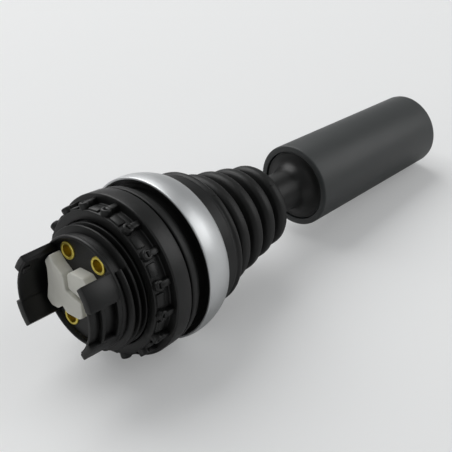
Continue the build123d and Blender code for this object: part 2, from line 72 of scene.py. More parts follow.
Colour = tuple[float, float, float]
Pair = tuple[float, float]
Point = tuple[float, float, float]
Profile = Sequence[tuple[float, ...]]
Mark = tuple[set[BMVert], set[BMEdge], set[BMFace]]
Value = Union["Wire", float, tuple]


class Body(Enum):
    """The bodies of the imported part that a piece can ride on."""

    HOUSING = "housing"
    NUT = "nut"
    STICK = "stick"
    LEFT = "left_plunger"
    RIGHT = "right_plunger"


class Slot(Enum):
    """The record's material slots."""

    BLACK_PLASTIC = "black_plastic"
    GREY_PLASTIC = "grey_plastic"
    LIGHT_PLASTIC = "light_grey_plastic"
    RUBBER = "black_rubber"
    SILVER = "satin_silver"
    BRASS = "brass"
    STEEL = "steel"


class Wire:
    """A shader socket that takes plain arithmetic."""

    def __init__(self, tree: bpy.types.NodeTree, socket: bpy.types.NodeSocket) -> None:
        """Keep the node tree and the output socket."""
        self.tree = tree
        self.socket = socket

    def feed(self, target: bpy.types.NodeSocket) -> None:
        """Link this socket into a node's input."""
        self.tree.links.new(self.socket, target)

    def maths(self, operation: str, *values: Value) -> "Wire":
        """Run one Math node.

        Args:
            operation: The Math node's operation.
            values: Its inputs in order.

        Returns:
            The node's result.
        """
        node = self.tree.nodes.new("ShaderNodeMath")
        node.operation = operation
        for target, value in zip(node.inputs, values):
            give(target, value)
        return Wire(self.tree, node.outputs[0])

    def __add__(self, other: Value) -> "Wire":
        """Add a wire or a number."""
        return self.maths("ADD", self, other)

    __radd__ = __add__

    def __sub__(self, other: Value) -> "Wire":
        """Take a wire or a number away."""
        return self.maths("SUBTRACT", self, other)

    def __mul__(self, other: Value) -> "Wire":
        """Multiply by a wire or a number."""
        return self.maths("MULTIPLY", self, other)

    def between(self, low: float, high: float) -> "Wire":
        """Map the range from low to high onto 0 to 1, clamped."""
        node = self.tree.nodes.new("ShaderNodeMapRange")
        node.clamp = True
        for name, value in (("Value", self), ("From Min", low), ("From Max", high)):
            give(node.inputs[name], value)
        return Wire(self.tree, node.outputs[0])


def give(target: bpy.types.NodeSocket, value: Value) -> None:
    """Link a wire to an input, or set a plain value on it."""
    if isinstance(value, Wire):
        value.feed(target)
    else:
        target.default_value = value


class Shader:
    """A material whose nodes are made one call at a time.

    Attributes:
        MIX_INPUTS: The Mix node's factor, first colour and second colour, by number.
        MIX_RESULT: Its mixed colour, by number.
    """

    MIX_INPUTS = (0, 6, 7)
    MIX_RESULT = 2

    def __init__(self, name: str) -> None:
        """Start a material with an empty Principled shader."""
        self.material = bpy.data.materials.new(name)
        self.material.use_nodes = True
        self.tree = self.material.node_tree
        self.skin = self.tree.nodes["Principled BSDF"]

    def node(self, kind: str, settings: dict[str, Any], sockets: dict[Union[int, str], Value],
             out: Union[int, str] = 0) -> Wire:
        """Add one node.

        Args:
            kind: The node's type.
            settings: Its properties, set before its sockets.
            sockets: Values or wires for its inputs.
            out: The output that is wanted.

        Returns:
            That output as a wire.
        """
        node = self.tree.nodes.new(kind)
        for name, value in settings.items():
            setattr(node, name, value)
        for name, value in sockets.items():
            give(node.inputs[name], value)
        return Wire(self.tree, node.outputs[out])

    def point(self) -> Wire:
        """Object coordinates in millimetres."""
        place = self.node("ShaderNodeTexCoord", {}, {}, "Object")
        sockets = {"Vector": place, "Scale": 1 / MM}
        return self.node("ShaderNodeVectorMath", {"operation": "SCALE"}, sockets)

    def noise(self, vector: Wire, scale: float, detail: float, roughness: float = 0.55) -> Wire:
        """Grey noise of the given scale in a vector's space."""
        sockets = {"Vector": vector, "Scale": scale, "Detail": detail, "Roughness": roughness}
        return self.node("ShaderNodeTexNoise", {"noise_dimensions": "3D"}, sockets)

    def mix(self, factor: Value, first: Value, second: Value) -> Wire:
        """Mix two colours."""
        sockets = dict(zip(self.MIX_INPUTS, (factor, first, second)))
        return self.node("ShaderNodeMix", {"data_type": "RGBA"}, sockets, self.MIX_RESULT)

    def bump(self, height: Wire, depth: float) -> None:
        """Feed a height in 0 to 1, depth millimetres tall, to the shader's normal."""
        sockets = {"Height": height, "Distance": depth * MM, "Strength": 1.0}
        give(self.skin.inputs["Normal"], self.node("ShaderNodeBump", {}, sockets))

    def set(self, **values: Value) -> None:
        """Set the shader's inputs by name, with _ for a space."""
        for name, value in values.items():
            give(self.skin.inputs[name.replace("_", " ")], value)


def shade(colour: Colour, factor: float = 1.0) -> tuple[float, float, float, float]:
    """Scale a linear colour and add its alpha."""
    return (*(channel * factor for channel in colour), 1.0)


@dataclass(frozen=True)
class Moulded:
    """Moulded plastic or rubber: fine grain, faint clouds of tone, and handling marks.

    Attributes:
        name: The material's name.
        slot: The record's slot.
        colour: Its linear colour.
        roughness: Its middle roughness.
        grain: How many grains there are in a millimetre.
        depth: The grain's depth in millimetres.
        clouds: How far the tone drifts, as a share.
        dust: How much pale dust lies on it.
        gloss: Its specular level.
        cloud_scale: How many clouds there are in a millimetre.
        speck_scale: How many specks of dust there could be in a millimetre.
        speck_range: The part of the noise that shows as specks.
        dust_colour: The dust's linear colour.
        swings: How far clouds, grain and specks move the roughness.
        cloud_height: The clouds' height as a share of the grain's.
    """

    name: str
    slot: Slot
    colour: Colour
    roughness: float
    grain: float
    depth: float
    clouds: float
    dust: float
    gloss: float
    cloud_scale: float = 0.22
    speck_scale: float = 2.4
    speck_range: Pair = (0.62, 0.8)
    dust_colour: Colour = (0.42, 0.42, 0.4)
    swings: tuple[float, float, float] = (0.16, 0.1, 0.2)
    cloud_height: float = 0.5

    def material(self) -> bpy.types.Material:
        """Build the material."""
        shader = Shader(self.name)
        point = shader.point()
        grain = shader.noise(point, self.grain, detail=2.0)
        cloud = shader.noise(point, self.cloud_scale, detail=4.0)
        spots = shader.noise(point, self.speck_scale, detail=5.0, roughness=0.7)
        specks = spots.between(*self.speck_range) * self.dust
        dark, pale = (shade(self.colour, 1 + drift) for drift in (-self.clouds, self.clouds))
        tone = shader.mix(cloud, dark, pale)
        shader.set(Base_Color=shader.mix(specks, tone, shade(self.dust_colour)))
        by_cloud, by_grain, by_specks = self.swings
        rough = self.roughness + (cloud - MIDDLE) * by_cloud + (grain - MIDDLE) * by_grain
        shader.set(Roughness=rough + specks * by_specks, Specular_IOR_Level=self.gloss)
        shader.bump(grain + cloud * self.cloud_height, self.depth)
        return shader.material


@dataclass(frozen=True)
class Turned:
    """Satin metal with fine lines turned round the stick's axis.

    Attributes:
        name: The material's name.
        slot: The record's slot.
        colour: Its linear colour.
        roughness: Its middle roughness.
        lines: How many turned lines there are in a millimetre.
        depth: The lines' depth in millimetres.
        film: How far a grey film dulls it.
        lay: How the lines stretch along X, Y and Z.
        cloud_scale: How many clouds there are in a millimetre.
        line_share: How much of the lines' darker tone shows.
        line_tone: That tone as a share of the colour.
        swings: How far lines and clouds move the roughness.
    """

    name: str
    slot: Slot
    colour: Colour
    roughness: float
    lines: float
    depth: float
    film: float
    lay: Point = (1.0, 0.04, 0.04)
    cloud_scale: float = 0.3
    line_share: float = 0.25
    line_tone: float = 0.86
    swings: Pair = (0.16, 0.12)

    def material(self) -> bpy.types.Material:
        """Build the material."""
        shader = Shader(self.name)
        point = shader.point()
        laid = shader.node("ShaderNodeVectorMath", {"operation": "MULTIPLY"}, {0: point, 1: self.lay})
        lines = shader.noise(laid, self.lines, detail=3.0)
        cloud = shader.noise(point, self.cloud_scale, detail=4.0)
        dull = shader.mix(cloud, shade(self.colour), shade(self.colour, 1 - self.film))
        scored = shader.mix(lines * self.line_share, dull, shade(self.colour, self.line_tone))
        by_lines, by_cloud = self.swings
        rough = self.roughness + (lines - MIDDLE) * by_lines + (cloud - MIDDLE) * by_cloud
        shader.set(Base_Color=scored, Metallic=1.0, Roughness=rough)
        shader.bump(lines, self.depth)
        return shader.material


@dataclass(frozen=True)
class Finishes:
    """The finishes of the joystick."""

    black: Moulded = Moulded(
        "black_plastic", Slot.BLACK_PLASTIC, (0.0046, 0.0049, 0.0046), 0.4, 5.0, 0.012, 0.22, 0.02, 0.42)
    grip: Moulded = Moulded(
        "grey_grip_plastic", Slot.GREY_PLASTIC, (0.044, 0.048, 0.048), 0.46, 7.0, 0.012, 0.1, 0.01, 0.55)
    light: Moulded = Moulded(
        "light_grey_plastic", Slot.LIGHT_PLASTIC, (0.72, 0.715, 0.65), 0.5, 4.0, 0.008, 0.05, 0.0, 0.4)
    rubber: Moulded = Moulded(
        "black_rubber", Slot.RUBBER, (0.0055, 0.0059, 0.0055), 0.46, 6.0, 0.014, 0.2, 0.06, 0.38)
    silver: Turned = Turned("satin_silver", Slot.SILVER, (0.73, 0.745, 0.75), 0.44, 9.0, 0.003, 0.07)
    brass: Turned = Turned("bright_brass", Slot.BRASS, (0.8, 0.66, 0.14), 0.34, 8.0, 0.003, 0.12)
    steel: Turned = Turned("plain_steel", Slot.STEEL, (0.5, 0.5, 0.51), 0.3, 8.0, 0.003, 0.12)


Finish = Union[Moulded, Turned]


class Dresser:
    """Makes each finish once and hands its material out."""

    def __init__(self) -> None:
        """Start with the finishes and no material."""
        self.finishes = Finishes()
        self.made: dict[str, bpy.types.Material] = {}

    def coat(self, finish: Finish) -> bpy.types.Material:
        """The finish's material, made on first use."""
        if finish.name not in self.made:
            self.made[finish.name] = finish.material()
        return self.made[finish.name]


def stand(name: str, data: bpy.types.ID) -> bpy.types.Object:
    """Add an object to the scene, at the origin."""
    thing = bpy.data.objects.new(name, data)
    bpy.context.scene.collection.objects.link(thing)
    return thing


class Draft:
    """A mesh that is drawn in millimetres about the stick's axis."""

    def __init__(self) -> None:
        """Start an empty mesh."""
        self.bm = bmesh.new()

    def mark(self) -> Mark:
        """Remember what is drawn so far."""
        return set(self.bm.verts), set(self.bm.edges), set(self.bm.faces)

    def since(self, mark: Mark) -> tuple[list[BMVert], list[BMEdge], list[BMFace]]:
        """List what was drawn after a mark."""
        drawn = (self.bm.verts, self.bm.edges, self.bm.faces)
        return tuple([each for each in items if each not in old] for items, old in zip(drawn, mark))

    def polygon(self, points: Sequence[Vector], rounds: Sequence[float]) -> BMFace:
        """Draw one flat face and round its corners.

        Args:
            points: Its corners.
            rounds: The rounding of each corner.

        Returns:
            The face.
        """
        mark = self.mark()
        verts = [self.bm.verts.new(point) for point in points]
        self.bm.faces.new(verts)
        for size in sorted(set(rounds) - {0.0}):
            chosen = [vert for vert, each in zip(verts, rounds) if each == size]
            self.bevel(chosen, size, CORNER_STEPS, "VERTICES")
        return self.since(mark)[2][0]

    def bevel(self, geom: list, size: float, steps: int, affect: str) -> None:
        """Round vertices or edges."""
        bmesh.ops.bevel(
            self.bm, geom=geom, offset=size, offset_type="OFFSET", segments=steps, profile=0.5,
            affect=affect, clamp_overlap=True, material=-1)

    def spin(self, edges: list[BMEdge], sweep: float, steps: int, rise: float, centre: Pair) -> None:
        """Spin edges about a line along X.

        Args:
            edges: The edges of the profile.
            sweep: The angle in degrees.
            steps: How many steps it takes.
            rise: How far it climbs along X in all.
            centre: The line's Y and Z.
        """
        verts = list({vert for edge in edges for vert in edge.verts})
        bmesh.ops.spin(
            self.bm, geom=verts + edges, cent=(0, *centre), axis=(1, 0, 0), dvec=(rise / steps, 0, 0),
            angle=radians(sweep), steps=steps, use_merge=sweep == FULL_TURN and not rise)

    def turn(self, profile: Profile, sweep: float = FULL_TURN, start: float = 0.0,
             steps: int = 112, rise: float = 0.0, centre: Pair = (0.0, 0.0), edge: float = 0.0) -> None:
        """Turn a closed profile about a line along X.

        Args:
            profile: Its corners, each as x, radius and, where it is rounded, the rounding.
            sweep: The angle in degrees.
            start: The angle where it starts, from +Y towards +Z.
            steps: How many steps it takes.
            rise: How far it climbs along X in all.
            centre: The line's Y and Z.
            edge: The rounding of the edges that are left sharp.
        """
        mark = self.mark()
        rounds = [rest[0] if rest else 0.0 for _, _, *rest in profile]
        self.polygon([Vector((x, r, 0)) for x, r, *_ in profile], rounds)
        verts, edges, faces = self.since(mark)
        bmesh.ops.delete(self.bm, geom=faces, context="FACES_ONLY")
        spot = Vector((0, *centre))
        bmesh.ops.translate(self.bm, verts=verts, vec=spot)
        aim = Matrix.Rotation(radians(start), 3, "X")
        bmesh.ops.rotate(self.bm, verts=verts, cent=spot, matrix=aim)
        self.spin(edges, sweep, steps, rise, centre)
        bmesh.ops.remove_doubles(self.bm, verts=self.since(mark)[0], dist=MERGE)
        if sweep != FULL_TURN or rise:
            rim = [each for each in self.since(mark)[1] if each.is_boundary]
            bmesh.ops.holes_fill(self.bm, edges=rim, sides=0)
        if edge:
            self.soften(self.since(mark)[1], edge)

    def soften(self, edges: Iterable[BMEdge], size: float, steps: int = 2, angle: float = 30.0) -> None:
        """Bevel the edges that are sharper than an angle in degrees."""
        least = radians(angle)
        sharp = [each for each in edges if each.is_manifold and each.calc_face_angle(0) > least]
        if sharp:
            self.bevel(sharp, size, steps, "EDGES")

    def block(self, low: Point, high: Point, edge: float) -> None:
        """Draw a box between two corners, with softened edges."""
        mark = self.mark()
        middle = (Vector(low) + Vector(high)) / 2
        size = Vector(high) - Vector(low)
        shape = Matrix.Translation(middle) @ Matrix.Diagonal((*size, 1))
        bmesh.ops.create_cube(self.bm, size=1.0, matrix=shape)
        self.soften(self.since(mark)[1], edge)

    def sector(self, low: Pair, high: Pair, start: float, end: float, edge: float) -> None:
        """Draw a curved block.

        Args:
            low: Its lowest x and radius.
            high: Its highest x and radius.
            start: The angle where it starts.
            end: The angle where it ends.
            edge: The rounding of its edges.
        """
        box = (low, (low[0], high[1]), high, (high[0], low[1]))
        steps = max(SECTOR_LEAST, round((end - start) / SECTOR_STEP))
        self.turn(box, end - start, start, steps, edge=edge)

    def prism(self, outline: Sequence[Pair], corner: float, back: float, front: float) -> None:
        """Extrude an outline in the YZ plane from back to front along X."""
        mark = self.mark()
        self.polygon([Vector((back, y, z)) for y, z in outline], [corner] * len(outline))
        self.thicken(self.since(mark)[2], front - back)

    def thicken(self, faces: list[BMFace], length: float) -> None:
        """Extrude flat faces along X and keep both ends."""
        made = bmesh.ops.extrude_face_region(self.bm, geom=faces, use_keep_orig=True)["geom"]
        moved = [item for item in made if isinstance(item, BMVert)]
        bmesh.ops.translate(self.bm, verts=moved, vec=(length, 0, 0))

    def repeat(self, mark: Mark, count: int) -> None:
        """Copy what was drawn after a mark round the stick's axis, count places in all."""
        verts, edges, faces = self.since(mark)
        bmesh.ops.spin(
            self.bm, geom=verts + edges + faces, cent=(0, 0, 0), axis=(1, 0, 0), steps=count - 1,
            angle=2 * pi * (count - 1) / count, use_duplicate=True)

    def place(self, name: str, material: bpy.types.Material, slot: Slot) -> bpy.types.Object:
        """Turn the draft into an object in metres.

        Args:
            name: The piece's name.
            material: Its material.
            slot: The record's slot; not used.

        Returns:
            The object, at the origin.
        """
        bmesh.ops.remove_doubles(self.bm, verts=self.bm.verts, dist=MERGE)
        bmesh.ops.recalc_face_normals(self.bm, faces=self.bm.faces)
        for face in self.bm.faces:
            face.smooth = True
        for edge in self.bm.edges:
            edge.smooth = edge.is_manifold and edge.calc_face_angle(0) < SHARP_ANGLE
        bmesh.ops.scale(self.bm, vec=(MM, MM, MM), verts=self.bm.verts)
        mesh = bpy.data.meshes.new(name)
        self.bm.to_mesh(mesh)
        self.bm.free()
        mesh.materials.append(material)
        piece = stand(name, mesh)
        return piece


@dataclass
class SubAssembly:
    """A group of pieces that are built and dressed together."""

    dresser: Dresser

    @property
    def finishes(self) -> Finishes:
        """The finishes to choose from."""
        return self.dresser.finishes

    def make(self, draw: Callable[[Draft], None], name: str, finish: Finish, body: Body,
             *nodes: str) -> None:
        """Draw a piece, make it ride on a body and stand for CAD nodes.

        Args:
            draw: What draws its mesh.
            name: The piece's name.
            finish: Its finish.
            body: The body that it rides on.
            nodes: The CAD nodes that it stands for.
        """
        draft = Draft()
        draw(draft)
        piece = draft.place(name, self.dresser.coat(finish), finish.slot)
        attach(piece, body.value)
        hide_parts(*nodes)
        LOG.info("%s: %d faces, rides on %s", name, len(piece.data.polygons), body.value)

    def make_soft(self, draft: Draft, name: str, finish: Finish, body: Body, node: str,
                  still: Point, moving: Point) -> None:
        """Place a piece with its transform baked into its mesh, and hide the CAD node that it stands
        for.

        Args:
            draft: The drawn mesh.
            name: The piece's name.
            finish: Its finish.
            body: The body that the log names.
            node: The CAD node that it stands for.
            still: The still end's point, in metres; not used.
            moving: The moving end's point, in metres; not used.
        """
        piece = draft.place(name, self.dresser.coat(finish), finish.slot)
        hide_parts(node)
        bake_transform(piece)
        LOG.info("%s: %d faces, gives way to %s", name, len(piece.data.polygons), body.value)


def plunger_outline(side: int) -> list[Pair]:
    """The outline of a plunger's foot in Y and Z, the other side by a half turn."""
    outline = (
        (5.9, 5.6), (7.2, 4.0), (6.75, 2.6), (6.75, -0.2), (7.2, -3.1), (6.1, -4.2), (4.5, -4.2),
        (3.4, -3.1), (2.3, -4.2), (-0.9, -4.2), (-1.7, -3.4), (-1.5, -0.9), (2.2, 0.1), (2.8, 2.9),
        (4.6, 4.1))
    return [(side * y, side * z) for y, z in outline]


@dataclass
class Housing(SubAssembly):
    """The threaded neck with its rear plate, its latch ears and its brass sockets."""

    rim_back: float = -11.3
    rim_r: float = 10.05
    rim_lip_r: float = 9.55
    rim_inner_r: float = 9.1
    rim_width: float = 0.7
    rim_slope: float = 0.1
    rim_round: float = 0.28
    plate_back: float = -10.5
    plate_depth: float = 2.8
    plate_lap: float = 0.05
    valley_r: float = 9.75
    crest_r: float = 11.0
    neck_r: float = 10.95
    pitch: float = 1.45
    ridge_halves: Pair = (0.5, 0.2)
    ridge_sink: float = 0.12
    thread_start: float = -9.95
    thread_angle: float = 139.0
    thread_turns: float = 3.2
    thread_step: float = 4.0
    nut_seat: float = -5.2
    seal_front: float = 3.2
    flange_front: float = 5.2
    flange_r: float = 13.5
    flange_step: Pair = (4.7, 12.7)
    spigot_front: float = 7.2
    spigot_r: float = 11.35
    spigot_round: float = 0.2
    bore_r: float = 9.25
    shelf: float = -0.35
    cavity_r: float = 8.65
    ear_back: float = -17.4
    ear_r: float = 9.9
    ear_inner_r: float = 8.5
    ear_root: float = 0.4
    ear_lap: float = 0.2
    ear_lap_angle: float = 1.0
    ear_angles: Pair = (-43.0, 44.0)
    floor_trim: Pair = (0.4, 0.5)
    floor_edge: float = 0.12
    prong_inner_r: float = 8.4
    prong_reach: Pair = (0.1, 0.2)
    prong_edge: float = 0.16
    pocket_angles: Pair = (-15.5, 23.0)
    pocket_depth: float = 0.9
    pocket_front: float = 0.9
    deep_pocket: float = 0.95
    rib: Pair = (-15.45, -14.85)
    rib_sink: float = 0.08
    boss_angles: Pair = (22.0, 30.0)
    boss_r: float = 8.15
    boss_set: float = 0.35
    boss_length: float = 1.5
    boss_edge: float = 0.18
    slot_gap: float = 0.25
    socket_r: float = 1.65
    socket_bore_r: float = 1.12
    socket_back: float = -10.8
    socket_front: float = -8.3
    socket_floor: float = 0.4
    socket_rounds: Pair = (0.14, 0.2)
    socket_places: Pair = (3.7, 6.3)
    hole_lap: float = 0.02

    def build(self) -> None:
        """Build the barrel and the sockets."""
        black, brass = self.finishes.black, self.finishes.brass
        self.make(self.draw_housing, "threaded_barrel", black, Body.HOUSING, "housing_barrel")
        self.make(self.draw_sockets, "rolled_sockets", brass, Body.HOUSING, "brass_sockets")

    def spots(self) -> list[Pair]:
        """The sockets' places in Y and Z."""
        wide, tall = self.socket_places
        return [(y, z) for y in (-wide, wide) for z in (-tall, tall)]

    def draw_housing(self, draft: Draft) -> None:
        """Draw the neck, its thread, the rear plate and both ears."""
        self.draw_neck(draft)
        self.draw_thread(draft)
        self.draw_plate(draft)
        for half in (0.0, HALF_TURN):
            self.draw_ear(draft, half)

    def draw_neck(self, draft: Draft) -> None:
        """Turn the neck, its rim, its flange and its bores."""
        plate_front = self.plate_back + self.plate_depth
        rim_front = self.rim_back + self.rim_width
        draft.turn([
            (self.rim_back, self.rim_lip_r, SOFT),
            (self.rim_back, self.rim_r, self.rim_round),
            (rim_front, self.rim_r, SOFT),
            (rim_front + self.rim_slope, self.valley_r),
            (self.nut_seat, self.valley_r),
            (self.nut_seat, self.neck_r),
            (self.seal_front, self.neck_r),
            (self.seal_front, self.flange_step[1]),
            self.flange_step,
            (self.flange_step[0], self.flange_r),
            (self.flange_front, self.flange_r),
            (self.flange_front, self.spigot_r),
            (self.spigot_front, self.spigot_r, self.spigot_round),
            (self.spigot_front, self.bore_r),
            (self.shelf, self.bore_r),
            (self.shelf, self.cavity_r),
            (plate_front, self.cavity_r),
            (plate_front, self.rim_inner_r),
            (self.plate_back, self.rim_inner_r),
        ])

    def draw_thread(self, draft: Draft) -> None:
        """Wind the thread's ridge round the neck."""
        root_r = self.valley_r - self.ridge_sink
        foot, top = self.ridge_halves
        ridge = [
            (self.thread_start - foot, root_r),
            (self.thread_start - top, self.crest_r, SOFT),
            (self.thread_start + top, self.crest_r, SOFT),
            (self.thread_start + foot, root_r),
        ]
        sweep = FULL_TURN * self.thread_turns
        steps = round(sweep / self.thread_step)
        draft.turn(ridge, sweep, self.thread_angle, steps, self.pitch * self.thread_turns)

    def draw_plate(self, draft: Draft) -> None:
        """Draw the rear plate with the plungers' openings and the sockets' holes."""
        mark = draft.mark()
        ring = Matrix.Translation((self.plate_back, 0, 0)) @ Matrix.Rotation(pi / 2, 4, "Y")
        bmesh.ops.create_circle(
            draft.bm, segments=96, radius=self.rim_inner_r + self.plate_lap, matrix=ring)
        for y, z in self.spots():
            spot = Matrix.Translation((0, y, z)) @ ring
            bmesh.ops.create_circle(
                draft.bm, segments=32, radius=self.socket_r - self.hole_lap, matrix=spot)
        for side in (1, -1):
            outline = [Vector((self.plate_back, y, z)) for y, z in plunger_outline(side)]
            opening = draft.polygon(outline, [PLUNGER_CORNER] * len(outline))
            bmesh.ops.inset_region(
                draft.bm, faces=[opening], thickness=self.slot_gap, use_boundary=True,
                use_even_offset=True, use_outset=True)
        drawn = draft.since(mark)
        inner = [edge for edge in drawn[1] if edge.link_faces and not edge.is_boundary]
        bmesh.ops.delete(draft.bm, geom=drawn[2], context="FACES_ONLY")
        bmesh.ops.delete(draft.bm, geom=inner, context="EDGES")
        loops = draft.since(mark)[1]
        bmesh.ops.triangle_fill(draft.bm, use_beauty=True, edges=loops, normal=(-1, 0, 0))
        draft.thicken(draft.since(mark)[2], self.plate_depth)

    def draw_ear(self, draft: Draft, half: float) -> None:
        """Draw a latch ear: its wall, shallow pocket, two pads, rib, root and boss, turned by half."""
        start, end = (half + angle for angle in self.ear_angles)
        low, high = (half + angle for angle in self.pocket_angles)
        boss = [half + angle for angle in self.boss_angles]
        wall = (low - self.floor_trim[0], end - self.floor_trim[1])
        wide = (low - self.ear_lap_angle, high + self.ear_lap_angle)
        root = self.rim_back + self.ear_root
        floor_r = self.ear_r - self.pocket_depth
        deep_r = self.ear_r - self.deep_pocket
        sunk_r = deep_r - self.ear_lap
        backs = [self.ear_back - reach for reach in self.prong_reach]
        rib_back, rib_front = self.rib
        boss_back = self.ear_back + self.boss_set
        top = (root, self.ear_r)
        blocks = (
            ((self.ear_back, self.ear_inner_r), (root, deep_r), *wall, self.floor_edge),
            ((self.ear_back, sunk_r), (rib_back + SOFT, floor_r), *wide, SOFT),
            ((backs[0], self.prong_inner_r), top, start, low, self.prong_edge),
            ((backs[1], sunk_r), top, high, end, self.prong_edge),
            ((rib_back, sunk_r), (rib_front, self.ear_r - self.rib_sink), *wide, SOFT),
            ((self.rim_back - self.pocket_front, sunk_r), top, *wide, SOFT),
            ((boss_back, self.boss_r), (boss_back + self.boss_length, self.ear_inner_r + SOFT), *boss,
             self.boss_edge),
        )
        for block in blocks:
            draft.sector(*block)

    def draw_sockets(self, draft: Draft) -> None:
        """Turn the blind sockets with their rolled rims."""
        floor = self.socket_front - self.socket_floor
        for centre in self.spots():
            draft.turn([
                (self.socket_back, self.socket_bore_r, self.socket_rounds[0]),
                (self.socket_back, self.socket_r, self.socket_rounds[1]),
                (self.socket_front, self.socket_r),
                (self.socket_front, 0.0),
                (floor, 0.0),
                (floor, self.socket_bore_r),
            ], steps=40, centre=centre)


@dataclass
class Clamp(SubAssembly):
    """The lock nut with its grip lugs, the panel seal and the bezel."""

    nut_bore_r: float = 11.05
    nut_flange_r: float = 14.65
    nut_front_r: float = 14.4
    nut_flange_back: float = -3.6
    nut_core_r: float = 12.9
    nut_back: float = -6.9
    nut_rounds: tuple[float, ...] = (0.2, 0.4, 0.3, 0.2, 0.22, 0.3)
    lugs: int = 16
    lug_turn: float = 4.0
    lug_top_r: float = 13.95
    lug_width: float = 1.2
    lug_sink: float = 0.4
    lug_lap: float = 0.3
    lug_edge: float = 0.32
    knob_r: float = 0.95
    knob_edge: float = 0.26
    dimple: float = 0.3
    dimple_rim: float = 0.16
    dimple_slope: float = 0.2
    pad_top_r: float = 13.22
    pad_width: float = 2.3
    pad_ends: Pair = (-6.6, -4.9)
    pad_edge: float = 0.2
    seal_r: float = 14.3
    seal_step: Pair = (0.3, 13.3)
    seal_inner_r: float = 11.03
    seal_groove_r: float = 12.75
    seal_front: float = 3.2
    seal_band: Pair = (1.9, 14.1)
    seal_rounds: Pair = (0.3, 0.8)
    shade_sheet: float = 0.2
    shade_sheet_foot_r: float = 13.52
    shade_sheet_set: float = 0.1
    shade_sheet_gap: float = 0.01
    bezel_r: float = 14.85
    bezel_back: float = 3.85
    bezel_crown: tuple[Point, ...] = ((0.0, -0.05, 0.18), (1.2, 0.1, 1.0), (4.0, -0.3, 1.5))
    bezel_front: float = 9.7
    bezel_front_r: float = 13.6
    bezel_mouth_r: float = 13.05
    bezel_mouth_rounds: Pair = (0.22, 0.12)
    bezel_bore_r: float = 13.58
    bezel_hollow: float = 5.1
    bezel_hollow_r: float = 14.4
    bezel_hollow_round: float = 0.2
    bezel_lip: float = 8.3

    def build(self) -> None:
        """Build the nut, the seal and the bezel."""
        self.make(self.draw_nut, "lugged_nut", self.finishes.black, Body.NUT, "lock_nut")
        self.make(self.draw_seal, "grooved_seal_and_shade_sheet", self.finishes.rubber, Body.HOUSING, "panel_seal")
        self.make(self.draw_bezel, "satin_bezel", self.finishes.silver, Body.HOUSING, "bezel_ring")

    def draw_nut(self, draft: Draft) -> None:
        """Turn the nut and set its lugs and pads round it."""
        places = (
            (0.0, self.nut_bore_r),
            (0.0, self.nut_front_r),
            (self.nut_flange_back, self.nut_flange_r),
            (self.nut_flange_back, self.nut_core_r),
            (self.nut_back, self.nut_core_r),
            (self.nut_back, self.nut_bore_r),
        )
        draft.turn([(*place, size) for place, size in zip(places, self.nut_rounds)])
        mark = draft.mark()
        self.draw_lug(draft)
        draft.repeat(mark, self.lugs)

    def draw_lug(self, draft: Draft) -> None:
        """Draw one lug with its dimpled knob, and the pad that follows it."""
        mark = draft.mark()
        root = self.nut_core_r - self.lug_sink
        half = self.lug_width / 2
        knob_x = self.nut_back + self.knob_r
        lug_front = self.nut_flange_back + self.lug_lap
        draft.block((knob_x, root, -half), (lug_front, self.lug_top_r, half), self.lug_edge)
        self.draw_knob(draft, knob_x, root)
        self.swing(draft, mark, self.lug_turn)
        mark = draft.mark()
        half = self.pad_width / 2
        pad_back, pad_front = self.pad_ends
        draft.block((pad_back, root, -half), (pad_front, self.pad_top_r, half), self.pad_edge)
        self.swing(draft, mark, self.lug_turn + HALF_TURN / self.lugs)

    @staticmethod
    def swing(draft: Draft, mark: Mark, angle: float) -> None:
        """Turn what was drawn after a mark about the stick's axis, by an angle in degrees."""
        aim = Matrix.Rotation(radians(angle), 3, "X")
        bmesh.ops.rotate(draft.bm, verts=draft.since(mark)[0], cent=(0, 0, 0), matrix=aim)

    def draw_knob(self, draft: Draft, knob_x: float, root: float) -> None:
        """Draw a lug's round knob with a dimple in its top."""
        mark = draft.mark()
        height = self.lug_top_r - root
        middle = Matrix.Translation((knob_x, root + height / 2, 0))
        bmesh.ops.create_cone(
            draft.bm, cap_ends=True, segments=20, radius1=self.knob_r, radius2=self.knob_r,
            depth=height, matrix=middle @ Matrix.Rotation(-pi / 2, 4, "X"))
        draft.soften(draft.since(mark)[1], self.knob_edge, steps=3, angle=60.0)
        faces = draft.since(mark)[2]
        top = max(faces, key=lambda face: (face.calc_center_median().y, face.calc_area()))
        bmesh.ops.inset_region(draft.bm, faces=[top], thickness=self.dimple_rim)
        bmesh.ops.inset_region(draft.bm, faces=[top], thickness=self.dimple_slope, depth=-self.dimple)

    def draw_seal(self, draft: Draft) -> None:
        """Turn the tapered seal, and a thin black sheet over the bezel hollow's faces that paints the
        shade in that hollow.
        """
        draft.turn([
            (0.0, self.seal_inner_r),
            (0.0, self.seal_step[1]),
            self.seal_step,
            (self.seal_step[0], self.seal_r, self.seal_rounds[0]),
            (*self.seal_band, self.seal_rounds[1]),
            (self.seal_front, self.seal_groove_r),
            (self.seal_front, self.seal_inner_r),
        ])
        # Painted shade: a thin black rubber sheet laid just inside the silver bezel's hollow, so its
        # wall and floor show dark.
        edge = self.bezel_back + self.shade_sheet_set
        floor = self.bezel_hollow - self.shade_sheet_gap
        outer_r = self.bezel_hollow_r - self.shade_sheet_gap
        draft.turn([
            (edge, outer_r - self.shade_sheet),
            (edge, outer_r),
            (floor, outer_r),
            (floor, self.shade_sheet_foot_r),
            (floor - self.shade_sheet, self.shade_sheet_foot_r),
            (floor - self.shade_sheet, outer_r - self.shade_sheet),
        ])

